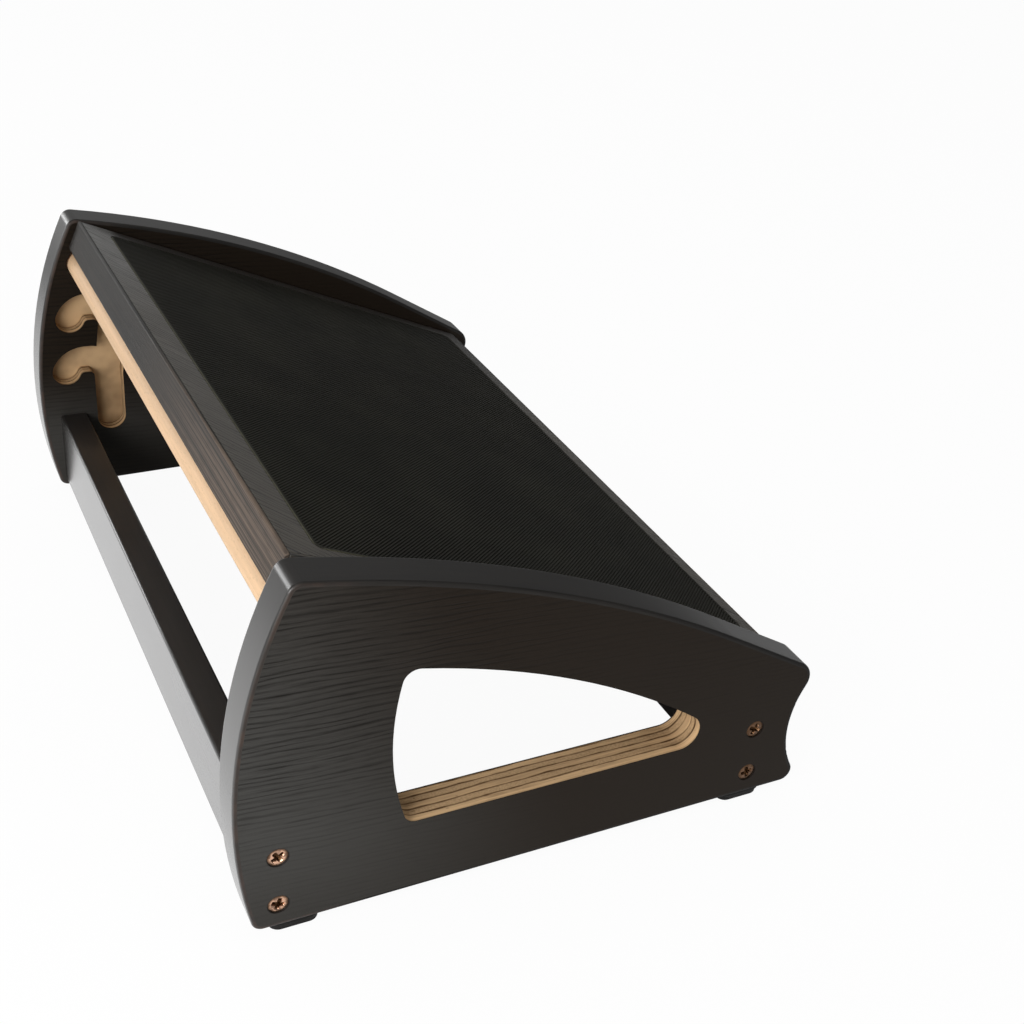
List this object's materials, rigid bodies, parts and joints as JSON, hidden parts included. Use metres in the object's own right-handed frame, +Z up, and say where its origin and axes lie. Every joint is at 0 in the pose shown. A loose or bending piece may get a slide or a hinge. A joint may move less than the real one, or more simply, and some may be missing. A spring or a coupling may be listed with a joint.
{
  "type": "under-desk footrest",
  "caption": "Under-desk footrest: a tilting platform with a ribbed mat, hinged at the heel between shaped plywood side panels, its toe end lying on a loose rod in hooked slots.",
  "frame": {"origin": "on the floor, under the middle of the footrest's box", "axes": "+X across the width, to the right of a person using it; +Y towards the toe end; +Z up"},
  "size_m": [0.43, 0.289, 0.1814],
  "materials": {
    "dark_veneer": "black-brown open-pore veneer on plywood, satin; plies bare in the windows and slots",
    "edge_band": "smooth black-brown edge band, satin",
    "bare_beech": "bare pale beech, sanded",
    "mat_rubber": "black, with fine diagonal ribs",
    "foot_rubber": "black, matt",
    "copper_screw": "copper-coloured plating, cross recess",
    "steel": "bright steel",
    "bush_plastic": "black moulded plastic"
  },
  "bodies": {
    "frame": {"front_left_foot": "foot_rubber", "front_left_foot_screw": "steel", "front_left_lower_screw": "copper_screw", "front_left_upper_screw": "copper_screw", "front_right_foot": "foot_rubber", "front_right_foot_screw": "steel", "front_right_lower_screw": "copper_screw", "front_right_upper_screw": "copper_screw", "front_stretcher": "dark_veneer", "left_edge_band": "edge_band", "left_pivot_bush": "bush_plastic", "left_side_panel": "dark_veneer", "rear_left_foot": "foot_rubber", "rear_left_foot_screw": "steel", "rear_left_lower_screw": "copper_screw", "rear_left_upper_screw": "copper_screw", "rear_right_foot": "foot_rubber", "rear_right_foot_screw": "steel", "rear_right_lower_screw": "copper_screw", "rear_right_upper_screw": "copper_screw", "rear_stretcher": "dark_veneer", "right_edge_band": "edge_band", "right_pivot_bush": "bush_plastic", "right_side_panel": "dark_veneer"},
    "platform": {"anti_slip_mat": "mat_rubber", "left_pivot_pin": "steel", "platform_board": "dark_veneer", "platform_heel_strip": "dark_veneer", "platform_left_strip": "dark_veneer", "platform_right_strip": "dark_veneer", "platform_toe_strip": "dark_veneer", "right_pivot_pin": "steel"},
    "support_rod": {"support_rod": "bare_beech"}
  },
  "joints": [
    {"name": "platform_tilt", "type": "hinge", "parent": "frame", "child": "platform", "pos_m": [0, -0.1128, 0.0769], "axis": [1, 0, 0], "range_deg": [0, 67]},
    {"name": "rod_unhook", "type": "hinge", "parent": "frame", "child": "support_rod", "pos_m": [0, 0.10144, 0.1471], "axis": [1, 0, 0], "range_deg": [0, 128]}
  ],
  "couplings": [
    {"joint": "rod_unhook", "follows": "platform_tilt", "ratio": 1.91}
  ]
}
